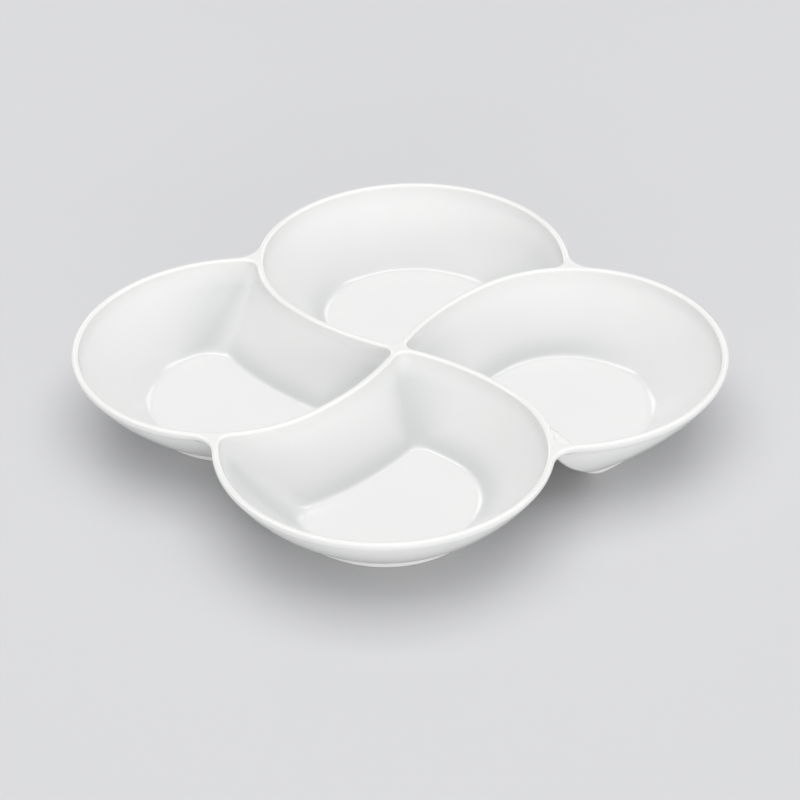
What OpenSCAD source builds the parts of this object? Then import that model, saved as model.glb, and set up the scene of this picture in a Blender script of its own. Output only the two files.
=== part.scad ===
// Divided serving dish: four leaf-shaped bowls turned round one centre, like a pinwheel.
// Every level of a bowl is one closed outline of arcs that run into one another, and a bowl is
// lofted through those outlines. A rim goes the whole way round its bowl: where two bowls meet,
// each rim is half of the divider between them.
// The origin is the dish's centre on the table, +Z is up, and the bowls lie along X and Y.

/* [Overall] */
// Width over two opposite bowls
overall_w = 255; // [225:1:290]
// Height from the table to the top of the rim
overall_h = 31.2; // [27:0.1:38]

/* [Walls] */
// Thickness of a bowl's floor
floor_t = 3; // [2:0.1:5]
// Width of the groove between two bowls, just under the rim
groove_w = 0.6; // [0.3:0.1:1.2]

/* [Rim] */
// Width of the rim
rim_t = 2.7; // [2:0.1:3.5]
// Height of the rounding on top of the rim
crest_h = 0.8; // [0.5:0.1:1.2]
// Height of the upright lip inside a bowl
lip_in_h = 3.5; // [2:0.1:4]
// Height of the upright lip on the outside
lip_out_h = 2; // [1.5:0.1:4]
// Height of the rim, down to where neighbouring bowls part
rim_h = 4.5; // [4.2:0.1:7]
// Width of the flat on the rim's crest
crest_w = 0.3; // [0.2:0.1:0.6]
// Radius of the soft notch outside, where two rims meet
notch_r = 11; // [6:0.1:13]
// Radius of that notch at the foot of the rim
notch_foot_r = 7; // [3:0.1:9]

/* [Foot] */
// Height of the foot rings
foot_h = 2.7; // [1.5:0.1:4]
// Width of a foot ring
foot_t = 4; // [2:0.1:5]
// How far a foot ring stands in from the edge of its bowl's base
foot_step = 0.7; // [0.3:0.1:2]

/* [Corners of a bowl] */
// Radius of the outer corner inside the rim
rim_corner_r = 5; // [3:0.1:8]
// Radius of the outer corner at the floor
floor_corner_r = 12; // [8:0.1:14]
// Radius of the outer corner outside, under the rim
web_corner_r = 1.5; // [1:0.1:3]
// Radius of the outer corner outside, at the base
base_corner_r = 7.5; // [6:0.1:10]
// Radius of the tip by the dish's centre, inside the rim
rim_tip_r = 4.5; // [2.5:0.1:6]
// Radius of the tip at the floor
floor_tip_r = 5; // [3:0.1:7]
// Radius of the tip outside, under the rim
web_tip_r = 3; // [2:0.1:5]
// Radius of the tip outside, at the base
base_tip_r = 6; // [4.5:0.1:8]

/* [Pinwheel] */
// Direction of the bowl's own divider at the dish's centre, in degrees
ridge_angle = 71.5; // [70.5:0.1:72.5]
// Where the round end passes into the flatter tail, in degrees
tail_angle = -20; // [-30:1:-10]

/* [Hidden] */
// Radii of the pinwheel's arcs, as shares of half the overall width
lobe_share = 0.491;
ridge_share = 0.868;
// Radius of the shoulder that joins a divider to the round end, as a share of the round end's
shoulder_share = 0.875;
// How much longer the tail's radius is, as shares of the round end's: rim, floor, base
tail_shares = [0.02, 0.08, 0.287];
// How far the floor and the base lie in from the rim, as shares of the round end's radius:
// at the round end, at the bowl's own divider, and at the next bowl's divider
floor_shares = [0.44, 0.377, 0.32];
base_shares = [0.405, 0.342, 0.265];
// Share of a wall's run that grows with the square of the depth: it is steepest at its top
curve_share = 0.4;

rim_r = rim_t / 2;
well_d = overall_h - foot_h - floor_t;
base_d = overall_h - foot_h;
lobe_r = overall_w / 2 * lobe_share;
lobe_c = [overall_w / 2 - rim_r - lobe_r, 0];
ridge_r = overall_w / 2 * ridge_share;
floor_in = lobe_r * floor_shares;
base_in = lobe_r * base_shares;
tails = lobe_r * tail_shares;

// Points on the arcs of an outline, and levels of the loft
tip_n = 4;
ridge_n = 8;
divider_n = 4;
free_n = 3;
lobe_n = 9;
quarter_n = 4;
tail_n = 7;
notch_n = 3;
corner_n = notch_n + 2;
outer_levels = 5;
inner_levels = 7;
bead_n = 3;
glaze = [0.95, 0.95, 0.93];
clay = [0.9, 0.88, 0.84];

function along(angle) = [cos(angle), sin(angle)];
function heading(v) = atan2(v.y, v.x);
function unit(v) = v / norm(v);
function clockwise(v) = [v.y, -v.x];
function counterclockwise(v) = [-v.y, v.x];
function lerp(a, b, t) = a + (b - a) * t;

// A circle is [centre, radius]. Two circles meet twice: side 1 is left of the line of centres.
function meet(p, q, side) =
    let (d = q[0] - p[0],
         l = norm(d),
         x = (p[1] * p[1] - q[1] * q[1] + l * l) / (2 * l),
         y = sqrt(p[1] * p[1] - x * x))
    p[0] + x * unit(d) + side * y * counterclockwise(unit(d));
function resized(circle, by) = [circle[0], circle[1] + by];
function turned(circle) = [clockwise(circle[0]), circle[1]];
function arc(circle, from, to, n) =
    [for (i = [0:n - 1]) circle[0] + circle[1] * along(lerp(from, to, i / n))];

// The four circles of a bowl's own side, each drawn in by its inset
function lobe_circle(inset) = [lobe_c, lobe_r - inset];
function ridge_circle(inset) = [ridge_r * along(ridge_angle - 90), ridge_r - inset];
function shoulder_circle(inset, ridge_inset) =
    let (lobe = lobe_circle(inset),
         r = shoulder_share * lobe[1])
    [meet(resized(lobe, -r), resized(ridge_circle(ridge_inset), -r), 1), r];
function tail_circle(inset, tail) = [lobe_c - tail * along(tail_angle), lobe_r - inset + tail];

// The small arcs that round the well's corners, at its outer end against the next bowl's
// shoulder and at the dish's centre, and the notch outside, where the tail meets that shoulder
function corner_circle(inset, next_inset, tail, corner_r) =
    [meet(resized(tail_circle(inset, tail), -corner_r),
          resized(turned(shoulder_circle(-next_inset, -next_inset)), corner_r), 1), corner_r];
function tip_circle(ridge_inset, next_inset, tip_r) =
    [meet(resized(ridge_circle(ridge_inset), -tip_r),
          resized(turned(ridge_circle(-next_inset)), tip_r), -1), tip_r];
function notch_circle(inset, ridge_inset, r) =
    [meet(resized(tail_circle(inset, tails[0]), r),
          resized(turned(shoulder_circle(inset, ridge_inset)), r), 1), r];

// The crest line of a divider, as angles on its circles: where it leaves the tip, passes from
// ridge to shoulder, is touched by the well's corner and by the notch, and meets the round end
crest_ridge = ridge_circle(0);
crest_shoulder = shoulder_circle(0, 0);
leaves_tip = heading(tip_circle(0, 0, rim_tip_r + rim_r)[0] - crest_ridge[0]);
leaves_ridge = heading(crest_shoulder[0] - crest_ridge[0]);
at_corner = heading(counterclockwise(corner_circle(0, 0, tails[0], rim_corner_r + rim_r)[0])
                    - crest_shoulder[0]);
at_notch = heading(counterclockwise(notch_circle(0, 0, notch_r + rim_r)[0]) - crest_shoulder[0]);
meets_lobe = heading(crest_shoulder[0] - lobe_c);
corner_share = (leaves_ridge - at_corner) / (leaves_ridge - meets_lobe);
notch_share = (leaves_ridge - at_notch) / (leaves_ridge - meets_lobe);

// A whole outline: in by inset, ridge_inset and next_inset from the round end, the bowl's own
// divider and the next bowl's divider, which is this bowl's own turned a quarter
function leaf(inset, ridge_inset, next_inset, tail, corner_r, tip_r) =
    let (lobe = lobe_circle(inset),
         ridge = ridge_circle(ridge_inset),
         shoulder = shoulder_circle(inset, ridge_inset),
         end = tail_circle(inset, tail),
         next = turned(shoulder_circle(-next_inset, -next_inset)),
         next_ridge = turned(ridge_circle(-next_inset)),
         corner = corner_circle(inset, next_inset, tail, corner_r),
         tip = tip_circle(ridge_inset, next_inset, tip_r),
         tip_end = heading(tip[0] - ridge[0]),
         leave = heading(shoulder[0] - ridge[0]),
         arrive = heading(shoulder[0] - lobe[0]),
         touch = lerp(leave, arrive, corner_share),
         part = lerp(leave, arrive, notch_share),
         tail_end = heading(corner[0] - end[0]),
         next_leave = heading(next[0] - next_ridge[0]))
    concat(
        arc(tip, heading(tip[0] - next_ridge[0]) + 180, tip_end, tip_n),
        arc(ridge, tip_end, leave, ridge_n),
        arc(shoulder, leave, touch, divider_n),
        arc(shoulder, touch, part, corner_n),
        arc(shoulder, part, arrive, free_n),
        arc(lobe, arrive, 0, lobe_n),
        arc(lobe, 0, tail_angle, quarter_n),
        arc(end, tail_angle, tail_end, tail_n),
        arc(corner, tail_end, heading(corner[0] - next[0]) - 180, corner_n),
        arc(next, heading(corner[0] - next[0]), next_leave, divider_n),
        arc(next_ridge, next_leave, heading(tip[0] - next_ridge[0]), ridge_n));

// How far a wall has come in at a depth, from 0 at its top to 1 at its foot
function slope(depth, top, foot) =
    let (x = (depth - top) / (foot - top))
    x * (1 - curve_share) + x * x * curve_share;
function inner_insets(depth) =
    let (u = slope(depth, lip_in_h, well_d))
    [for (reach = floor_in) lerp(rim_r, reach, u)];
function outer_insets(depth) =
    let (u = slope(depth, rim_h, base_d))
    [lerp(-rim_r, base_in[0], slope(depth, lip_out_h, base_d)),
     lerp(groove_w / 2, base_in[1], u),
     lerp(groove_w / 2, base_in[2], u)];
function inner_leaf(depth) =
    let (u = slope(depth, lip_in_h, well_d), in = inner_insets(depth))
    leaf(in[0], in[1], in[2],
         lerp(tails[0], tails[1], u),
         lerp(rim_corner_r, floor_corner_r, u),
         lerp(rim_tip_r, floor_tip_r, u));
function outer_leaf(depth) =
    let (u = slope(depth, rim_h, base_d), in = outer_insets(depth))
    leaf(in[0], in[1], in[2],
         lerp(tails[0], tails[2], u),
         lerp(web_corner_r, base_corner_r, u),
         lerp(web_tip_r, base_tip_r, u));
function crest_leaf(inset) =
    leaf(inset, inset, inset, tails[0], rim_corner_r + rim_r - inset, rim_tip_r + rim_r - inset);
function foot_leaf(inset) =
    leaf(base_in[0] + inset, base_in[1] + inset, base_in[2] + inset,
         tails[2], base_corner_r - inset, base_tip_r - inset);

function raised(outline, depth) = [for (p = outline) [p.x, p.y, overall_h - depth]];

// Where two rims meet: the crest line of their divider, from the tip to the well's corner, and a
// last point inside the junction. From there the joint runs out to the middle of the notch.
divider = concat(
    arc(crest_ridge, leaves_tip, leaves_ridge, ridge_n),
    arc(crest_shoulder, leaves_ridge, at_corner, divider_n),
    [crest_shoulder[0] + crest_shoulder[1] * along(at_corner),
     counterclockwise(meet(tail_circle(rim_t, tails[0]), turned(crest_shoulder), 1))]);

// Where an outline's tail passes into its corner, as an angle on the tail's circle
function tail_stop(inset, next_inset, corner_r) =
    heading(corner_circle(inset, next_inset, tails[0], corner_r)[0] - tail_circle(inset, tails[0])[0]);

// The outside of a rim at one level. Along the dividers it is the joint, and from notch to notch
// it is the free edge, in by inset. It goes round as a well's outline does. The tail runs on into
// the notch, and its points keep pace with those of a tail that ends at the angle stop.
function rim_outside(inset, ridge_inset, r, stop) =
    let (lobe = lobe_circle(inset),
         shoulder = shoulder_circle(inset, ridge_inset),
         end = tail_circle(inset, tails[0]),
         notch = notch_circle(inset, ridge_inset, r),
         back_notch = [counterclockwise(notch[0]), r],
         from = heading(end[0] - notch[0]),
         to = heading(notch[0] - clockwise(shoulder[0])) + 180,
         middle = (from + to) / 2,
         half = tip_n / 2,
         whole = tail_angle - heading(notch[0] - end[0]),
         paced = tail_angle - stop,
         last = whole + (middle - from) * sign(middle - from) * r / end[1],
         turns = concat([for (i = [0:tail_n - 1]) paced * i / tail_n],
                        [for (i = [0:notch_n - 1]) lerp(paced, last, i / notch_n)]))
    concat(
        [for (i = [0:half - 1]) clockwise(divider[0]) * (1 - i / half)],
        [for (i = [0:half - 1]) divider[0] * i / half],
        divider,
        arc(back_notch, middle + 90, to + 90, notch_n),
        arc(shoulder, heading(back_notch[0] - shoulder[0]), heading(shoulder[0] - lobe[0]), free_n),
        arc(lobe, heading(shoulder[0] - lobe[0]), 0, lobe_n),
        arc(lobe, 0, tail_angle, quarter_n),
        [for (turn = turns) turn <= whole
            ? end[0] + end[1] * along(tail_angle - turn)
            : notch[0] + r * along(from + sign(middle - from) * (turn - whole) * end[1] / r)],
        [notch[0] + r * along(middle)],
        [for (i = [len(divider) - 1:-1:1]) clockwise(divider[i])]);

// The two triangles of each quad between ring i and ring j of n points. From the point flip on
// a quad is split the other way, so that the two rims of a divider have the same triangles.
function strip(i, j, n, flip) = concat(
    [for (k = [0:n - 1])
        let (l = (k + 1) % n)
        k < flip ? [i * n + k, i * n + l, j * n + l] : [i * n + k, i * n + l, j * n + k]],
    [for (k = [0:n - 1])
        let (l = (k + 1) % n)
        k < flip ? [i * n + k, j * n + l, j * n + k] : [i * n + l, j * n + l, j * n + k]]);

// A closed solid through rings of points. Seen from the last ring, each ring runs clockwise,
// and both ends are fans about their hub, which sees the whole of its ring.
module loft(rings, hubs) {
    n = len(rings[0]);
    last = len(rings) - 1;
    first_hub = (last + 1) * n;
    polyhedron(
        points = concat([for (ring = rings, p = ring) p], hubs),
        faces = concat(
            [for (i = [0:last - 1], face = strip(i, i + 1, n, n)) face],
            [for (k = [0:n - 1]) [first_hub, (k + 1) % n, k]],
            [for (k = [0:n - 1]) [first_hub + 1, last * n + k, last * n + (k + 1) % n]]));
}

// A rim is the closed band between its outside and its well: up the outside, over the round
// crest, and down the well to where the bowl takes over
module rim(turn) {
    in = inner_insets(rim_h);
    out = outer_insets(rim_h);
    bead = [for (i = [1:bead_n])
        let (a = 90 * i / bead_n)
        [rim_r * sin(a), crest_h * (1 - cos(a))]];
    lip = notch_r + rim_r;
    stop = tail_stop(0, 0, rim_corner_r + rim_r);
    rings = concat(
        [raised(rim_outside(out[0], out[1], notch_foot_r, tail_stop(out[0], out[2], web_corner_r)), rim_h),
         raised(rim_outside(-rim_r, -rim_r, notch_r, stop), lip_out_h)],
        [for (i = [bead_n - 1:-1:0])
            raised(rim_outside(-bead[i][0], -bead[i][0], lip - bead[i][0], stop), bead[i][1])],
        [raised(rim_outside(0, 0, lip, stop), 0), raised(crest_leaf(crest_w), 0)],
        [for (b = bead) raised(crest_leaf(b[0]), b[1])],
        [raised(crest_leaf(rim_r), lip_in_h),
         raised(inner_leaf(rim_h), rim_h)]);
    n = len(rings[0]);
    last = len(rings) - 1;
    flip = n - corner_n - divider_n - ridge_n;
    color(glaze)
        rotate(turn)
            polyhedron(
                points = [for (ring = rings, p = ring) p],
                faces = [for (i = [0:last], face = strip(i, (i + 1) % (last + 1), n, flip)) face]);
}

module bowl(turn) {
    outside = [for (i = [0:outer_levels])
        let (depth = lerp(base_d, rim_h, i / outer_levels)) raised(outer_leaf(depth), depth)];
    inside = [for (i = [0:inner_levels])
        let (depth = lerp(rim_h, well_d, i / inner_levels)) raised(inner_leaf(depth), depth)];
    hubs = [for (depth = [base_d, well_d]) [lobe_c.x, lobe_c.y, overall_h - depth]];
    color(glaze) rotate(turn) loft(concat(outside, inside), hubs);
}

module foot_ring(turn) {
    color(clay)
        rotate(turn)
            linear_extrude(foot_h)
                difference() {
                    polygon(foot_leaf(foot_step));
                    polygon(foot_leaf(foot_step + foot_t));
                }
}

module rim_right() { rim(0); }
module rim_back() { rim(90); }
module rim_left() { rim(180); }
module rim_front() { rim(270); }
module bowl_right() { bowl(0); }
module bowl_back() { bowl(90); }
module bowl_left() { bowl(180); }
module bowl_front() { bowl(270); }
module foot_ring_right() { foot_ring(0); }
module foot_ring_back() { foot_ring(90); }
module foot_ring_left() { foot_ring(180); }
module foot_ring_front() { foot_ring(270); }

rim_right();
rim_back();
rim_left();
rim_front();
bowl_right();
bowl_back();
bowl_left();
bowl_front();
foot_ring_right();
foot_ring_back();
foot_ring_left();
foot_ring_front();
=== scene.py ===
"""Looks of the divided serving dish: a glazed porcelain body of four bowls, each on its foot ring.

The shapes follow the CAD part's own outline formula, in millimetres, and to_mesh() writes metres.
"""

import bpy
import numpy as np
from mathutils import Matrix, Vector


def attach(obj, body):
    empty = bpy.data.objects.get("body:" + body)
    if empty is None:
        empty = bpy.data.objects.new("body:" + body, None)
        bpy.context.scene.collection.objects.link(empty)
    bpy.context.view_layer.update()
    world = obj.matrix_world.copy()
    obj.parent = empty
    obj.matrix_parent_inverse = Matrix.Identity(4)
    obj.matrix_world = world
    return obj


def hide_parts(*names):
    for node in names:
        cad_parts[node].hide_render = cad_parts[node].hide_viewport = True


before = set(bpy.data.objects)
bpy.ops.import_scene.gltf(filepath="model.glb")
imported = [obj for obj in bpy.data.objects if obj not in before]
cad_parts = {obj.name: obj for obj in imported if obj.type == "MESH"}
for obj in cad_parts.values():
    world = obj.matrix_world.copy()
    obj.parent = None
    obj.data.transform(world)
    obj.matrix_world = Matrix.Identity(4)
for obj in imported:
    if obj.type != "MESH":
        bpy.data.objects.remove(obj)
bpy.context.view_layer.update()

MM_PER_M = 1000

# The dish, in millimetres and degrees, with the names of the CAD part
OVERALL_W, OVERALL_H = 255.0, 31.2
FLOOR_T, GROOVE_W = 3.0, 0.6
RIM_T, CREST_H, LIP_IN_H, LIP_OUT_H, RIM_H = 2.7, 0.8, 3.5, 2.0, 4.5
NOTCH_R, NOTCH_FOOT_R = 11.0, 7.0
FOOT_H, FOOT_T, FOOT_STEP = 2.7, 4.0, 0.7
RIM_CORNER_R, FLOOR_CORNER_R, WEB_CORNER_R, BASE_CORNER_R = 5.0, 12.0, 1.5, 7.5
RIM_TIP_R, FLOOR_TIP_R, WEB_TIP_R, BASE_TIP_R = 4.5, 5.0, 3.0, 6.0
RIDGE_ANGLE, TAIL_ANGLE = 71.5, -20.0
LOBE_SHARE, RIDGE_SHARE, SHOULDER_SHARE, CURVE_SHARE = 0.491, 0.868, 0.875, 0.4
TAIL_SHARES = np.array([0.02, 0.08, 0.287])
FLOOR_SHARES = np.array([0.44, 0.377, 0.32])
BASE_SHARES = np.array([0.405, 0.342, 0.265])
RIM_R = RIM_T / 2
WELL_D = OVERALL_H - FOOT_H - FLOOR_T
BASE_D = OVERALL_H - FOOT_H
LOBE_R = OVERALL_W / 2 * LOBE_SHARE
LOBE_C = np.array([OVERALL_W / 2 - RIM_R - LOBE_R, 0.0])
RIDGE_R = OVERALL_W / 2 * RIDGE_SHARE
FLOOR_IN, BASE_IN, TAILS = LOBE_R * FLOOR_SHARES, LOBE_R * BASE_SHARES, LOBE_R * TAIL_SHARES
SIDES = {"right": 0, "back": 1, "left": 2, "front": 3}

# How far the rounding of a crease runs to either side of it, in millimetres of depth, and on the
# floor and under the base as a share of the way to the middle of the round end
LIP_IN_RUN, LIP_OUT_RUN, FLOOR_RUN, BASE_RUN = 2.4, 0.8, 1.1, 0.5
FLOOR_RUN_SHARE, BASE_RUN_SHARE = 0.045, 0.03
FOOT_EDGE_R = 0.9

# Points on the stretches of an outline, and the stations where some of them start
HALF_TIP_N, RIDGE_N, DIVIDER_N, FREE_N, LOBE_N, QUARTER_N, TAIL_N = 7, 38, 14, 14, 44, 14, 34
JOIN_N, WEB_N, NOTCH_N = 3, 5, 14
TIP_N, CORNER_N = 2 * HALF_TIP_N + 1, JOIN_N + WEB_N + NOTCH_N
OWN_CORNER_AT = TIP_N + RIDGE_N + DIVIDER_N
QUARTER_AT = OWN_CORNER_AT + CORNER_N + FREE_N + LOBE_N
CORNER_AT = QUARTER_AT + QUARTER_N + TAIL_N

# Rings of a bowl, and of the rounded edges and sides of a foot ring. The steps are the rings
# between a flat's edge and its middle, as shares of the way.
BASE_CREASE_N, OUTER_N, EDGE_N, LIP_OUT_N = 3, 22, 7, 5
CREST_N, LIP_IN_N, INNER_N, FLOOR_CREASE_N = 10, 5, 22, 6
BASE_STEP, FLOOR_STEPS = 0.5, (0.2, 0.4, 0.65, 0.85)
FOOT_EDGE_N, FOOT_SIDE_N, CONTACT_STEPS = 7, 4, (0.25, 0.5, 0.75)

# The camera, fitted to the photograph: degrees, millimetres and pixels. The fit's own frame is
# turned by TURN about the dish's axis, and its zero is the plane of the rim's crest.
ELEVATION, ROLL, TURN = 34.215, -1.424, 4.988
DISTANCE, SHIFT_X, SHIFT_Y = 1161.66, -0.572, 20.43
FOCAL_PX, PHOTO_PX, SENSOR = 2996.7, 800, 36.0
CLIP_NEAR_M, CLIP_FAR_M = 0.05, 20


def shown(name, data):
    """A new object in the scene, at the origin."""
    thing = bpy.data.objects.new(name, data)
    bpy.context.scene.collection.objects.link(thing)
    return thing


def photo_camera():
    """The camera looks along minus back. Its axes are rolled about back, and all is turned."""
    up_tilt, roll = np.radians([ELEVATION, ROLL])
    right, up = np.array([1, 0, 0]), np.array([0, np.sin(up_tilt), np.cos(up_tilt)])
    back = np.array([0, -np.cos(up_tilt), np.sin(up_tilt)])
    across = np.cos(roll) * right + np.sin(roll) * up
    upward = np.cos(roll) * up - np.sin(roll) * right
    place = back * DISTANCE - across * SHIFT_X - upward * SHIFT_Y + [0, 0, OVERALL_H]
    axes = Matrix([[*row] for row in np.column_stack([across, upward, back])]).to_4x4()
    lens = bpy.data.cameras.new("photo_camera")
    lens.sensor_fit, lens.sensor_width = "HORIZONTAL", SENSOR
    lens.lens = SENSOR * FOCAL_PX / PHOTO_PX
    lens.clip_start, lens.clip_end = CLIP_NEAR_M, CLIP_FAR_M
    camera = shown("photo_camera", lens)
    turn = Matrix.Rotation(np.radians(TURN), 4, "Z")
    camera.matrix_world = turn @ Matrix.Translation(place / MM_PER_M) @ axes
    bpy.context.scene.camera = camera


photo_camera()


# ---- plane geometry: a circle is (centre, radius), and angles are in degrees

def along(angle):
    """The direction at an angle."""
    angle = np.radians(angle)
    return np.stack([np.cos(angle), np.sin(angle)], -1)


def heading(v):
    """The angle of a direction."""
    return np.degrees(np.arctan2(v[1], v[0]))


def lerp(a, b, t):
    """From a to b by a share t of the way."""
    return a + (b - a) * t


def shares(n):
    """n even shares, from 0 up to but not including 1."""
    return np.arange(n) / n


def quarter_turn(points, turns):
    """Points turned counter-clockwise about the dish's axis by a number of quarters."""
    x, y = points[..., 0], points[..., 1]
    for _ in range(turns % 4):
        x, y = -y, x
    return np.concatenate([np.stack([x, y], -1), points[..., 2:]], -1)


def meet(p, q, side):
    """Where two circles cross, left (1) or right (-1) of the line of centres."""
    d = q[0] - p[0]
    gap = np.hypot(*d)
    x = (p[1] ** 2 - q[1] ** 2 + gap ** 2) / (2 * gap)
    y = np.sqrt(p[1] ** 2 - x ** 2)
    d = d / gap
    return p[0] + x * d + side * y * np.array([-d[1], d[0]])


def resized(circle, by):
    """A circle about the same centre, with its radius changed by a length."""
    return circle[0], circle[1] + by


def turned(circle, turns):
    """A circle turned about the dish's axis by a number of quarters."""
    return quarter_turn(circle[0], turns), circle[1]


def arc(circle, start, end, t):
    """Points of a circle between two angles, at the shares t of the way."""
    return circle[0] + circle[1] * along(lerp(start, end, np.asarray(t, float)))


# ---- the bowls' circles, each drawn in by its inset

def lobe_circle(inset):
    """The round end of a bowl."""
    return LOBE_C, LOBE_R - inset


def ridge_circle(inset):
    """A bowl's own divider: without an inset it runs through the dish's axis."""
    return RIDGE_R * along(RIDGE_ANGLE - 90), RIDGE_R - inset


def shoulder_circle(inset, ridge_inset):
    """From the ridge to the round end: a circle that touches both from inside."""
    lobe = lobe_circle(inset)
    r = SHOULDER_SHARE * lobe[1]
    return meet(resized(lobe, -r), resized(ridge_circle(ridge_inset), -r), 1), r


def tail_circle(inset, tail):
    """After the round end: a circle larger by tail, which touches it where the tail starts."""
    return LOBE_C - tail * along(TAIL_ANGLE), LOBE_R - inset + tail


def corner_circle(inset, next_inset, tail, r):
    """In the corner: a circle that touches the tail from inside, the next shoulder from outside."""
    shoulder = turned(shoulder_circle(-next_inset, -next_inset), 3)
    return meet(resized(tail_circle(inset, tail), -r), resized(shoulder, r), 1), r


def tip_circle(ridge_inset, next_inset, r):
    """In the tip: a circle that touches the own ridge from inside, the next one from outside."""
    ridge = turned(ridge_circle(-next_inset), 3)
    return meet(resized(ridge_circle(ridge_inset), -r), resized(ridge, r), -1), r


def notch_circle(inset, ridge_inset, r):
    """In the notch: a circle that touches the tail and the next shoulder from outside."""
    shoulder = turned(shoulder_circle(inset, ridge_inset), 3)
    return meet(resized(tail_circle(inset, TAILS[0]), r), resized(shoulder, r), 1), r


def spans(level):
    """The arcs of a level's outline, as name -> (circle, start, end), clockwise seen from above."""
    inset, ridge_inset, next_inset, tail, corner_r, tip_r = level[:6]
    lobe, ridge, end = lobe_circle(inset), ridge_circle(ridge_inset), tail_circle(inset, tail)
    shoulder = shoulder_circle(inset, ridge_inset)
    next_shoulder = turned(shoulder_circle(-next_inset, -next_inset), 3)
    next_ridge = turned(ridge_circle(-next_inset), 3)
    corner = corner_circle(inset, next_inset, tail, corner_r)
    tip = tip_circle(ridge_inset, next_inset, tip_r)
    tip_end, leave = heading(tip[0] - ridge[0]), heading(shoulder[0] - ridge[0])
    arrive, tail_end = heading(shoulder[0] - lobe[0]), heading(corner[0] - end[0])
    next_leave = heading(next_shoulder[0] - next_ridge[0])
    return {
        "tip": (tip, heading(tip[0] - next_ridge[0]) + 180, tip_end),
        "ridge": (ridge, tip_end, leave),
        "shoulder": (shoulder, leave, arrive),
        "lobe": (lobe, arrive, 0.0),
        "quarter": (lobe, 0.0, TAIL_ANGLE),
        "tail": (end, TAIL_ANGLE, tail_end),
        "corner": (corner, tail_end, heading(corner[0] - next_shoulder[0]) - 180),
        "next shoulder": (next_shoulder, heading(corner[0] - next_shoulder[0]), next_leave),
        "next ridge": (next_ridge, next_leave, heading(tip[0] - next_ridge[0])),
    }


# ---- levels of a bowl: (inset, ridge inset, next inset, tail, corner radius, tip radius, depth)

def slope(depth, top, foot):
    """How far a wall has come in at x, a share of its depth: x less a part of x and plus that part
    of x squared."""
    x = (depth - top) / (foot - top)
    return x * (1 - CURVE_SHARE) + x * x * CURVE_SHARE


def crest_level(inset, depth):
    """On the crest: every side comes in by the inset, and the two radii shrink by it."""
    return (inset, inset, inset, TAILS[0],
            RIM_CORNER_R + RIM_R - inset, RIM_TIP_R + RIM_R - inset, depth)


def inner_level(depth):
    """On the inner wall: insets and radii run from the rim's to the floor's by the slope."""
    u = slope(depth, LIP_IN_H, WELL_D)
    own, ridge, other = lerp(RIM_R, FLOOR_IN, u)
    return (own, ridge, other, lerp(TAILS[0], TAILS[1], u),
            lerp(RIM_CORNER_R, FLOOR_CORNER_R, u), lerp(RIM_TIP_R, FLOOR_TIP_R, u), depth)


def outer_level(depth):
    """On the outer wall: insets and radii run to the base's by the slope, on the free side from the
    lip and on the others from half a groove at the rim's foot."""
    u = slope(depth, RIM_H, BASE_D)
    return (lerp(-RIM_R, BASE_IN[0], slope(depth, LIP_OUT_H, BASE_D)),
            lerp(GROOVE_W / 2, BASE_IN[1], u), lerp(GROOVE_W / 2, BASE_IN[2], u),
            lerp(TAILS[0], TAILS[2], u),
            lerp(WEB_CORNER_R, BASE_CORNER_R, u), lerp(WEB_TIP_R, BASE_TIP_R, u), depth)


def foot_level(inset, z):
    """On the foot ring, at a height z: the base's outline, drawn in by an inset."""
    own, ridge, other = BASE_IN + inset
    return (own, ridge, other, TAILS[2], BASE_CORNER_R - inset, BASE_TIP_R - inset, OVERALL_H - z)


def edge_level(depth):
    """From the upright lip down to the rim's foot: the inset, the ridge inset, the notch's radius,
    the share k of the way and the depth."""
    k = (depth - LIP_OUT_H) / (RIM_H - LIP_OUT_H)
    return (outer_level(depth)[0], lerp(-RIM_R, GROOVE_W / 2, k),
            lerp(NOTCH_R, NOTCH_FOOT_R, k * k * (3 - 2 * k)), k, depth)


# ---- marks on the crest line, as angles on its circles and as shares of its arcs

CREST = spans(crest_level(0.0, 0.0))
CREST_RIDGE, CREST_SHOULDER = ridge_circle(0.0), shoulder_circle(0.0, 0.0)
HEART = heading(-CREST_RIDGE[0])
OWN_TIP, LEAVE = CREST["ridge"][1:]
BACK_TIP = heading(turned(CREST["tip"][0], 1)[0] - CREST_RIDGE[0])
AT_CORNER = heading(turned(CREST["corner"][0], 1)[0] - CREST_SHOULDER[0])
JOIN = quarter_turn(meet(tail_circle(RIM_T, TAILS[0]), turned(CREST_SHOULDER, 3), 1), 1)
AT_JOIN = heading(JOIN - CREST_SHOULDER[0])
TIP_SHARE = (LEAVE - OWN_TIP) / (LEAVE - BACK_TIP)


def part_share(inset, ridge_inset, r):
    """The share of a shoulder's arc at which the notch of radius r touches it."""
    ridge, lobe = ridge_circle(ridge_inset), lobe_circle(inset)
    shoulder = shoulder_circle(inset, ridge_inset)
    touch = heading(turned(notch_circle(inset, ridge_inset, r), 1)[0] - shoulder[0])
    leave, arrive = heading(shoulder[0] - ridge[0]), heading(shoulder[0] - lobe[0])
    return (leave - touch) / (leave - arrive)


CORNER_SHARE = (LEAVE - AT_CORNER) / (LEAVE - CREST["shoulder"][2])
CREST_PART = part_share(0.0, 0.0, NOTCH_R + RIM_R)
FOOT_PART = part_share(*edge_level(RIM_H)[:3])
CREST_TAIL, FOOT_TAIL = CREST["tail"][2], spans(outer_level(RIM_H))["tail"][2]


# ---- rings: closed rows of points, one point for each station round a bowl

def raised(outline, depth):
    """An outline with its height, which is the overall height less a depth."""
    return np.column_stack([outline, np.full(len(outline), OVERALL_H - depth)])


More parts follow.
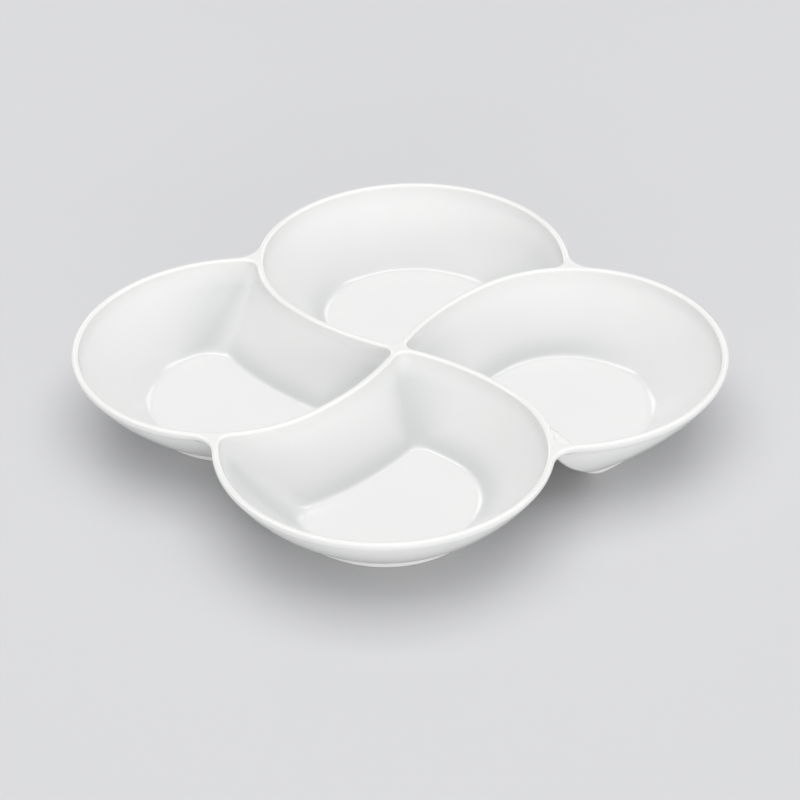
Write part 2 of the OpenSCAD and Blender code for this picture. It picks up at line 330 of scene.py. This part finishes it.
def leaf(level, part=CREST_PART):
    """A closed outline: tip, ridge, shoulder, round end, tail, corner, and the next bowl's divider
    back. part is the share of the shoulder's arc at which the free edge starts."""
    s = spans(level)
    return raised(np.vstack([
        arc(*s["tip"], shares(TIP_N)),
        arc(*s["ridge"], shares(RIDGE_N)),
        arc(*s["shoulder"], CORNER_SHARE * shares(DIVIDER_N)),
        arc(*s["shoulder"], lerp(CORNER_SHARE, part, shares(CORNER_N))),
        arc(*s["shoulder"], lerp(part, 1, shares(FREE_N))),
        arc(*s["lobe"], shares(LOBE_N)),
        arc(*s["quarter"], shares(QUARTER_N)),
        arc(*s["tail"], shares(TAIL_N)),
        arc(*s["corner"], shares(CORNER_N)),
        arc(*s["next shoulder"], shares(DIVIDER_N)),
        arc(*s["next ridge"], TIP_SHARE * shares(RIDGE_N)),
        arc(*s["next ridge"], [TIP_SHARE]),
    ]), level[6])


def rim_edge(inset, ridge_inset, r, k, depth):
    """The rim's outside at one level. Along the dividers it runs in the joint under their crest,
    out to the middle of the notch of radius r. From notch to notch it is the free edge, whose tail
    runs on into the notch's arc, spaced by length. k is the share of the way from the lip to the
    rim's foot."""
    lobe, shoulder = lobe_circle(inset), shoulder_circle(inset, ridge_inset)
    end, notch = tail_circle(inset, TAILS[0]), notch_circle(inset, ridge_inset, r)
    start = heading(end[0] - notch[0])
    stop = heading(notch[0] - turned(shoulder, 3)[0]) + 180
    middle = (start + stop) / 2
    part, arrive = heading(turned(notch, 1)[0] - shoulder[0]), heading(shoulder[0] - lobe[0])
    tail_stop = heading(notch[0] - end[0])
    tail_run = end[1] * np.radians(TAIL_ANGLE - tail_stop)
    corner_run = end[1] * np.radians(TAIL_ANGLE - lerp(CREST_TAIL, FOOT_TAIL, k))
    whole_run = tail_run + r * np.radians(abs(middle - start))

    def tail_path(run):
        """Points at lengths along the tail and, past its end, along the notch."""
        on_tail = end[0] + end[1] * along(TAIL_ANGLE - np.degrees(run / end[1]))
        past = np.sign(middle - start) * np.degrees((run - tail_run) / r)
        return np.where((run <= tail_run)[:, None], on_tail, notch[0] + r * along(start + past))

    middle_next = notch[0] + r * along(middle)
    middle_own = quarter_turn(middle_next, 1)
    join_next = quarter_turn(JOIN, 3)
    next_ridge, next_shoulder = turned(CREST_RIDGE, 3), turned(CREST_SHOULDER, 3)
    return raised(np.vstack([
        arc(next_ridge, BACK_TIP - 90, HEART - 90, shares(HALF_TIP_N)),
        arc(CREST_RIDGE, HEART, BACK_TIP, shares(HALF_TIP_N)),
        arc(CREST_RIDGE, BACK_TIP, OWN_TIP, [0.0]),
        arc(CREST_RIDGE, OWN_TIP, LEAVE, shares(RIDGE_N)),
        arc(CREST_SHOULDER, LEAVE, AT_CORNER, shares(DIVIDER_N)),
        arc(CREST_SHOULDER, AT_CORNER, AT_JOIN, shares(JOIN_N)),
        lerp(JOIN, middle_own, shares(WEB_N)[:, None]),
        arc(turned(notch, 1), middle + 90, stop + 90, shares(NOTCH_N)),
        arc(shoulder, part, arrive, shares(FREE_N)),
        arc(lobe, arrive, 0.0, shares(LOBE_N)),
        arc(lobe, 0.0, TAIL_ANGLE, shares(QUARTER_N)),
        tail_path(corner_run * shares(TAIL_N)),
        tail_path(lerp(corner_run, whole_run, shares(NOTCH_N))),
        lerp(middle_next, join_next, shares(WEB_N)[:, None]),
        arc(next_shoulder, AT_JOIN - 90, AT_CORNER - 90, shares(JOIN_N)),
        arc(next_shoulder, AT_CORNER - 90, LEAVE - 90, shares(DIVIDER_N)),
        arc(next_ridge, LEAVE - 90, OWN_TIP - 90, shares(RIDGE_N)),
        arc(next_ridge, OWN_TIP - 90, BACK_TIP - 90, [0.0]),
    ]), depth)


def rounding(before, crease, after, n):
    """n rings between two rings, bent towards the crease's ring: at each station a quadratic
    curve."""
    return [(1 - t) ** 2 * before + 2 * t * (1 - t) * crease + t * t * after
            for t in (np.arange(n) + 1) / (n + 1)]


def shrunk(ring, share):
    """A ring drawn towards the middle of the round end by a share of the way."""
    return lerp(ring, np.array([*LOBE_C, ring[0, 2]]), share)


def bowl_rings():
    """The rings of one bowl from under its base, up the outside, over the crest and down to its
    floor, with the numbers of three of them: the rim's foot, the joint's foot and the middle of
    the crest."""
    base = leaf(outer_level(BASE_D), FOOT_PART)
    wall_foot = leaf(outer_level(BASE_D - BASE_RUN), FOOT_PART)
    disc = shrunk(base, BASE_RUN_SHARE)
    rings = [shrunk(base, BASE_STEP), disc, *rounding(disc, base, wall_foot, BASE_CREASE_N)]
    outside = np.linspace(BASE_D - BASE_RUN, RIM_H, OUTER_N)
    rings += [leaf(outer_level(d), FOOT_PART) for d in outside]
    rim_foot = len(rings) - 1

    low, high = LIP_OUT_H + LIP_OUT_RUN, LIP_OUT_H - LIP_OUT_RUN
    rings += [rim_edge(*edge_level(d)) for d in np.linspace(RIM_H, low, EDGE_N)]
    joint_foot = rim_foot + 1
    lip = (-RIM_R, -RIM_R, NOTCH_R, 0.0)
    lip_top = rim_edge(*lip, high)
    rings += rounding(rings[-1], rim_edge(*lip, LIP_OUT_H), lip_top, LIP_OUT_N) + [lip_top]

    for a in np.radians(np.linspace(90, 0, CREST_N)):
        out = RIM_R * np.sin(a)
        rings.append(rim_edge(-out, -out, NOTCH_R + RIM_R - out, 0.0, CREST_H * (1 - np.cos(a))))
    crest = len(rings) - 1
    rings += [leaf(crest_level(RIM_R * np.sin(a), CREST_H * (1 - np.cos(a))))
              for a in np.radians(np.linspace(0, 90, CREST_N))]

    lip_foot = leaf(crest_level(RIM_R, LIP_IN_H - LIP_IN_RUN))
    wall_top = leaf(inner_level(LIP_IN_H + LIP_IN_RUN))
    lip_crease = leaf(crest_level(RIM_R, LIP_IN_H))
    rings += [lip_foot, *rounding(lip_foot, lip_crease, wall_top, LIP_IN_N)]
    inside = np.linspace(LIP_IN_H + LIP_IN_RUN, WELL_D - FLOOR_RUN, INNER_N)
    rings += [leaf(inner_level(d)) for d in inside]
    floor = leaf(inner_level(WELL_D))
    level = shrunk(floor, FLOOR_RUN_SHARE)
    rings += rounding(rings[-1], floor, level, FLOOR_CREASE_N)
    rings += [level, *(shrunk(floor, s) for s in FLOOR_STEPS)]
    return np.array(rings), rim_foot, joint_foot, crest


# ---- meshes

WELDS_PER_MM = 1e4


def grid_faces(rows, n):
    """Two triangles for each cell between rows of n points that close on themselves. They point
    outwards where the rows of a clockwise outline go down, and inwards where they go up."""
    i, k = np.meshgrid(np.arange(rows - 1), np.arange(n), indexing="ij")
    a, b, c, d = i * n + k, i * n + (k + 1) % n, (i + 1) * n + (k + 1) % n, (i + 1) * n + k
    return np.stack([np.stack([a, b, c], -1), np.stack([a, c, d], -1)], 2)


def face_normals(points, faces):
    """The cross product of two edges of each triangle: its normal, as long as twice its area."""
    p = points[faces]
    return np.cross(p[:, 1] - p[:, 0], p[:, 2] - p[:, 0])


def unit(v):
    """Vectors brought to the length 1."""
    return v / np.maximum(np.linalg.norm(v, axis=-1, keepdims=True), 1e-12)


def weld(points):
    """The first point at each different place, and for each point the number of its place, with
    places in steps of a tenth of a micrometre."""
    places = np.round(points * WELDS_PER_MM).astype(np.int64)
    _, first, same = np.unique(places, axis=0, return_index=True, return_inverse=True)
    return first, same.reshape(-1)


def welded(points, faces, flat, *values):
    """The mesh with its doubled points made one and the triangles that this closes left out. Each
    point keeps its values."""
    first, same = weld(points)
    faces = same[faces]
    a, b, c = faces.T
    whole = (a != b) & (b != c) & (c != a)
    return points[first], faces[whole], flat[whole], *(value[first] for value in values)


def corner_normals(points, faces, flat, up):
    """A normal for each corner of each face. A smooth point takes the mean of the smooth faces
    round it, by their area, over all four turned copies, so that no seam shows between bowls. up
    marks points that face straight up, and a flat face keeps its own normal."""
    facing = face_normals(points, faces)
    _, place = weld(np.vstack([quarter_turn(points, q) for q in range(4)]))
    total = np.zeros((place.max() + 1, 3))
    for q in range(4):
        np.add.at(total, place[faces[~flat].reshape(-1) + q * len(points)],
                  np.repeat(quarter_turn(facing[~flat], q), 3, 0))
    smooth = unit(total[place[:len(points)]])
    smooth[up] = [0, 0, 1]
    return np.where(flat[:, None, None], unit(facing)[:, None], smooth[faces])


def to_mesh(name, points, faces, normals, finish, **shades):
    """A mesh object in metres, with a normal for each corner. The shades, values for each point,
    become attributes."""
    mesh = bpy.data.meshes.new(name)
    mesh.from_pydata(points / MM_PER_M, [], faces.tolist())
    mesh.polygons.foreach_set("use_smooth", np.ones(len(faces), bool))
    for key, values in shades.items():
        attribute = mesh.attributes.new(key, "FLOAT", "POINT")
        attribute.data.foreach_set("value", values.astype(np.float32))
    mesh.normals_split_custom_set(normals.reshape(-1, 3))
    mesh.materials.append(finish)
    return shown(name, mesh)


# ---- the glazed bowls

# How the glaze lies, in millimetres. It is thin down to THIN_D under the crest. A grey of pooled
# glaze, which also paints shade into the creases and the foot of the wall, lies up to
# POOL_AND_SHADE_H over the floor, but not in the last POOL_AND_SHADE_CLEAR_H, and for a run to
# either side of the two upright creases. It is shallower by
# ROUND_END_SHARE within ROUND_END_RUN of the outermost point. In the upright creases it fades in
# below the lip and out above the floor.
THIN_D = 0.8
POOL_AND_SHADE_H, POOL_AND_SHADE_CLEAR_H = 4.5, 0.7
TIP_RUN, CORNER_RUN = 8, 10
ROUND_END_SHARE, ROUND_END_RUN, ROUND_END_POWER = 0.85, 48, 4
FADE_IN_D, FADE_OUT_H = 6, 1.5
LEVEL_GAP = 1e-6


def pooled(rings, crest):
    """How deep the molten glaze has pooled, from 0 to 1, which also sets how much shade is painted
    into the creases and the foot of the wall: bell curves of the height over the floor and of the
    run along the outline from the two upright creases, where a bowl's walls meet at an angle. At
    the foot of the wall it is deepest under the dividers and shallower round the free end."""
    outline = leaf(inner_level(WELL_D))[:, :2]
    step = np.linalg.norm(np.roll(outline, -1, 0) - outline, axis=1)
    run = np.cumsum(step) - step

    def nearness(station, reach, power=2):
        """A bell curve of the run from a station, the shorter way round."""
        gap = np.abs(run - run[station])
        return np.exp(-(np.minimum(gap, step.sum() - gap) / reach) ** power)

    crease = np.maximum(nearness(TIP_N // 2, TIP_RUN),
                        nearness(CORNER_AT + CORNER_N // 4, CORNER_RUN))
    divider = 1 - ROUND_END_SHARE * nearness(QUARTER_AT, ROUND_END_RUN, ROUND_END_POWER)
    inside = np.arange(len(rings))[:, None] > crest
    depth = OVERALL_H - rings[..., 2]
    height = WELL_D - depth
    foot = np.exp(-(height / POOL_AND_SHADE_H) ** 2) * (1 - np.exp(-(height / POOL_AND_SHADE_CLEAR_H) ** 2))
    wall = np.clip((depth - LIP_IN_H) / FADE_IN_D, 0, 1) * np.clip(height / FADE_OUT_H, 0, 1)
    return np.maximum(foot * divider, wall * crease) * inside


def glazed_bowls(finish):
    """Four bowls with their rims: one is worked out and turned by quarters. The faces of the
    joints, of the rim's foot and of the underside are flat."""
    rings, rim_foot, joint_foot, crest = bowl_rings()
    rows, n = rings.shape[:2]
    row, station = np.indices((rows - 1, n))
    inner = (station < OWN_CORNER_AT + JOIN_N + WEB_N) | (station >= CORNER_AT + NOTCH_N)
    joint = (row >= joint_foot) & (row < crest) & inner
    flat = joint | (row == rim_foot) | (row < 1)

    middles = [[*LOBE_C, OVERALL_H - BASE_D], [*LOBE_C, OVERALL_H - WELL_D]]
    points = np.vstack([rings.reshape(-1, 3), middles])
    k = np.arange(n)
    ahead, last = (k + 1) % n, (rows - 1) * n
    faces = np.vstack([grid_faces(rows, n)[..., ::-1].reshape(-1, 3),
                       np.stack([np.full(n, rows * n), k, ahead], -1),
                       np.stack([np.full(n, rows * n + 1), last + ahead, last + k], -1)])
    flat = np.concatenate([np.repeat(flat.reshape(-1), 2), np.ones(n, bool), np.zeros(n, bool)])
    # The pool values darken the glaze as pooled glaze and as painted shade in the creases and at
    # the foot of the wall.
    pool = np.append(pooled(rings, crest), [0, 0])
    points, faces, flat, pool = welded(points, faces, flat, pool)

    depth = OVERALL_H - points[:, 2]
    normals = corner_normals(points, faces, flat, depth < LEVEL_GAP)
    thin = np.exp(-(depth / THIN_D) ** 2)
    for side, turns in SIDES.items():
        piece = to_mesh(f"glazed_bowl_{side}", quarter_turn(points, turns), faces,
                        quarter_turn(normals, turns), finish, thin=thin, pool=pool)
        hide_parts(f"bowl_{side}", f"rim_{side}")
        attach(piece, "root")


def foot_rings(finish):
    """Four foot rings: a profile with rounded lower edges, carried round the outline of a bowl's
    base. The profile goes down the outer side, in across the contact face and up the inner side."""
    r = FOOT_EDGE_R
    a = np.radians(np.linspace(0, 90, FOOT_EDGE_N))
    side, turn = r * (1 - np.cos(a)), r * (1 - np.sin(a))
    outer = [(FOOT_STEP, z) for z in np.linspace(FOOT_H, r, FOOT_SIDE_N)[:-1]]
    outer += [(FOOT_STEP + s, z) for s, z in zip(side, turn)]
    across = [(FOOT_STEP + r + (FOOT_T - 2 * r) * t, 0.0) for t in CONTACT_STEPS]
    inner = [(2 * FOOT_STEP + FOOT_T - inset, z) for inset, z in outer[::-1]]
    rings = np.array([leaf(foot_level(inset, z), FOOT_PART) for inset, z in outer + across + inner])
    rings = np.append(rings, rings[:1], 0)
    rows, n = rings.shape[:2]
    flat = np.repeat(np.arange(rows - 1) == rows - 2, 2 * n)
    points, faces, flat = welded(rings.reshape(-1, 3), grid_faces(rows, n).reshape(-1, 3), flat)
    normals = corner_normals(points, faces, flat, np.zeros(len(points), bool))
    for side, turns in SIDES.items():
        piece = to_mesh(f"fired_foot_{side}", quarter_turn(points, turns), faces,
                        quarter_turn(normals, turns), finish)
        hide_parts(f"foot_ring_{side}")
        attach(piece, "root")


# ---- finishes

# Colours, as linear red, green and blue
BODY_COOL, BODY_WARM = (0.83, 0.835, 0.825, 1), (0.86, 0.86, 0.845, 1)
# POOL_AND_SHADE_GREY is the grey of pooled glaze and also painted shade in the creases and at the
# foot of the wall.
THIN_CREAM, POOL_AND_SHADE_GREY = (0.87, 0.862, 0.835, 1), (0.66, 0.675, 0.67, 1)
FOOT_COOL, FOOT_WARM = (0.85, 0.855, 0.845, 1), (0.88, 0.88, 0.865, 1)
CLAY_DARK, CLAY_LIGHT = (0.66, 0.63, 0.57, 1), (0.76, 0.73, 0.67, 1)
FLOOR_PALE, BACKDROP_PALE = (0.66, 0.66, 0.67, 1), (0.93, 0.935, 0.95, 1)

# Sizes of the patterns and how far they rise, in millimetres
CLOUD_SIZE, WAVE_SIZE, PEEL_SIZE, FOOT_CLOUD_SIZE, CLAY_SIZE = 26, 20, 1.8, 9, 0.5
WAVE_RISE, PEEL_RISE, CLAY_RISE = 0.03, 0.0008, 0.03
WAVE_DETAIL, CLAY_DETAIL = 1.0, 3.0

# How much of the thin glaze's colour, and of the pooled glaze's grey that also paints shade into
# the creases, shows at the most
THIN_SHOWS, POOL_AND_SHADE_SHOWS = 0.5, 0.9

# The bare contact face ends between two heights in millimetres, along a line that wanders
BARE_TOP, GLAZE_FOOT, WIPE_WANDER = 0.25, 0.4, 0.3

# Roughness: the glaze's own, what its clouds and its thin places add, the glazed foot's, what bare
# clay adds, and the floor's
GLAZE_ROUGH, CLOUD_ROUGH, THIN_ROUGH = 0.09, 0.04, 0.02
FOOT_ROUGH, CLAY_ROUGH, FLOOR_ROUGH = 0.08, 0.62, 0.55
GLAZE_IOR = 1.5

# Sockets of a Mix node for colours, which has others of the same names
MIX_SHARE, MIX_A, MIX_B, MIX_COLOUR = 0, 6, 7, 2


class Value:
    """A number that a node gives. A sum or product of such values adds its Math nodes."""

    def __init__(self, nodes, socket):
        self.nodes, self.socket = nodes, socket

    def maths(self, operation, a, b):
        return self.nodes.add("ShaderNodeMath", {"operation": operation}, {0: a, 1: b})

    def __add__(self, other):
        return self.maths("ADD", self, other)

    def __mul__(self, other):
        return self.maths("MULTIPLY", self, other)

    __radd__, __rmul__ = __add__, __mul__


class Nodes:
    """The node tree of a material or of the world."""

    def __init__(self, owner):
        owner.use_nodes = True
        self.tree = owner.node_tree
        self.tree.nodes.clear()

    def add(self, kind, settings=None, inputs=None, output=0):
        """A node of a kind: its settings are set first, then the values or links of its sockets."""
        node = self.tree.nodes.new(kind)
        for name, setting in (settings or {}).items():
            if name == "stops":
                for stop, (at, shade) in zip(node.color_ramp.elements, setting):
                    stop.position, stop.color = at, (shade, shade, shade, 1)
            else:
                setattr(node, name, setting)
        for name, value in (inputs or {}).items():
            if isinstance(value, Value):
                self.tree.links.new(value.socket, node.inputs[name])
            else:
                node.inputs[name].default_value = value
        return Value(self, node.outputs[output]) if node.outputs else node

    def place(self):
        """The place on the object, in metres."""
        return self.add("ShaderNodeTexCoord", output="Object")

    def shade(self, name):
        """A value that to_mesh() has given to each point."""
        return self.add("ShaderNodeAttribute", {"attribute_name": name}, output="Fac")

    def noise(self, place, size_mm, detail=2.0):
        """A cloudy value from 0 to 1, with clouds of about size_mm."""
        return self.add("ShaderNodeTexNoise", {},
                        {"Vector": place, "Scale": MM_PER_M / size_mm, "Detail": detail})

    def blend(self, share, a, b):
        """Colour a turned into colour b by a share."""
        return self.add("ShaderNodeMix", {"data_type": "RGBA"},
                        {MIX_SHARE: share, MIX_A: a, MIX_B: b}, MIX_COLOUR)

    def steps(self, value, *stops):
        """A ramp of a value: even between two stops, which are (value, shade from 0 to 1)."""
        return self.add("ShaderNodeValToRGB", {"stops": stops}, {"Fac": value})

    def bump(self, height, rise_mm, normal=None):
        """The surface's direction over a pattern that rises by rise_mm, on top of another such
        direction."""
        inputs = {"Height": height, "Distance": rise_mm / MM_PER_M}
        return self.add("ShaderNodeBump", {}, inputs | ({"Normal": normal} if normal else {}))

    def surface(self, **sockets):
        """The shader of a material: a Principled one, with a space in a socket's name written _."""
        inputs = {name.replace("_", " "): value for name, value in sockets.items()}
        shader = self.add("ShaderNodeBsdfPrincipled", {}, inputs)
        self.add("ShaderNodeOutputMaterial", {}, {"Surface": shader})


def white_glaze():
    """Clear glaze over white porcelain: thinner and warmer on the crest, with a grey of pooled
    glaze and painted shade in the creases and round the floor, and the slow waves and the fine
    orange peel of a fired surface."""
    material = bpy.data.materials.new("white_glaze")
    nodes = Nodes(material)
    place = nodes.place()
    thin, pool = nodes.shade("thin"), nodes.shade("pool")
    cloud, grain = nodes.noise(place, CLOUD_SIZE), nodes.noise(place, PEEL_SIZE)
    body = nodes.blend(cloud, BODY_COOL, BODY_WARM)
    body = nodes.blend(thin * THIN_SHOWS, body, THIN_CREAM)
    # Painted shade, partly pooled glaze: grey in the creases and at the foot of the wall.
    body = nodes.blend(pool * POOL_AND_SHADE_SHOWS, body, POOL_AND_SHADE_GREY)
    waves = nodes.bump(nodes.noise(place, WAVE_SIZE, WAVE_DETAIL), WAVE_RISE)
    nodes.surface(Base_Color=body, IOR=GLAZE_IOR, Normal=nodes.bump(grain, PEEL_RISE, waves),
                  Roughness=GLAZE_ROUGH + CLOUD_ROUGH * cloud + THIN_ROUGH * thin)
    return material


def fired_foot():
    """The foot is glazed down its sides. Its contact face is wiped bare, matt fired clay."""
    material = bpy.data.materials.new("fired_foot")
    nodes = Nodes(material)
    place = nodes.place()
    height = nodes.add("ShaderNodeSeparateXYZ", {}, {0: place}, "Z")
    cloud = nodes.noise(place, FOOT_CLOUD_SIZE)
    grain = nodes.noise(place, CLAY_SIZE, CLAY_DETAIL)
    bare = nodes.steps(height * MM_PER_M + WIPE_WANDER * cloud, (BARE_TOP, 1.0), (GLAZE_FOOT, 0.0))
    clay = nodes.blend(grain, CLAY_DARK, CLAY_LIGHT)
    glazed = nodes.blend(cloud, FOOT_COOL, FOOT_WARM)
    nodes.surface(Base_Color=nodes.blend(bare, glazed, clay), IOR=GLAZE_IOR,
                  Normal=nodes.bump(grain * bare, CLAY_RISE),
                  Roughness=FOOT_ROUGH + CLAY_ROUGH * bare)
    return material


glazed_bowls(white_glaze())
foot_rings(fired_foot())


# ---- floor, light and backdrop, in metres and watts

FLOOR_HALF = 6.0
LAMP_TARGET = (0, 0, 0.02)
WORLD_LEVEL, BACKDROP_LEVEL = 0.5, 0.9

# The lamps: name, place, width and height, power, and whether it is one that the glaze mirrors
LAMPS = [
    ("overhead", (0.0, 0.1, 1.6), (2.0, 2.0), 19.5, False),
    ("front_fill", (0.4, -2.9, 0.42), (4.8, 0.8), 42, False),
    ("right_fill", (2.7, -1.5, 0.42), (1.8, 0.8), 8.8, False),
    ("back_strip", (-0.06, 0.7, 1.35), (1.8, 0.25), 5, True),
    ("right_strip", (0.29, 1.26, 0.72), (0.3, 0.5), 0.7, True),
    ("left_strip", (-0.52, 1.19, 0.72), (0.3, 0.5), 1.0, True),
]


def pale_floor():
    """A wide pale floor, a shade off white, that the dish's shadow falls on."""
    material = bpy.data.materials.new("pale_floor")
    Nodes(material).surface(Base_Color=FLOOR_PALE, Roughness=FLOOR_ROUGH)
    mesh = bpy.data.meshes.new("floor")
    ends = [(-1, -1), (1, -1), (1, 1), (-1, 1)]
    mesh.from_pydata([(x * FLOOR_HALF, y * FLOOR_HALF, 0) for x, y in ends], [], [(0, 1, 2, 3)])
    mesh.materials.append(material)
    floor = shown("floor", mesh)


def softbox(name, place, size, power, mirrored):
    """A rectangular soft lamp at a place, turned to the dish. A mirrored lamp only shows in the
    glaze, as a bright line, and any other only gives light."""
    data = bpy.data.lights.new(name, "AREA")
    data.shape, data.energy = "RECTANGLE", power
    data.size, data.size_y = size
    lamp = shown(name, data)
    lamp.visible_glossy, lamp.visible_diffuse = mirrored, not mirrored
    turn = (Vector(place) - Vector(LAMP_TARGET)).to_track_quat("Z", "Y")
    lamp.matrix_world = Matrix.Translation(place) @ turn.to_matrix().to_4x4()


def pale_world():
    """Even light, and a brighter pale backdrop for the camera and for what the glaze mirrors."""
    world = bpy.data.worlds.new("studio")
    bpy.context.scene.world = world
    nodes = Nodes(world)
    camera, glossy, through = (nodes.add("ShaderNodeLightPath", output=f"Is {kind} Ray")
                               for kind in ("Camera", "Glossy", "Transmission"))
    strength = WORLD_LEVEL + (camera + through + glossy) * (BACKDROP_LEVEL - WORLD_LEVEL)
    back = nodes.add("ShaderNodeBackground", {}, {"Color": BACKDROP_PALE, "Strength": strength})
    nodes.add("ShaderNodeOutputWorld", {}, {"Surface": back})


pale_floor()
for row in LAMPS:
    softbox(*row)
pale_world()
bpy.context.scene.view_settings.view_transform = "Standard"
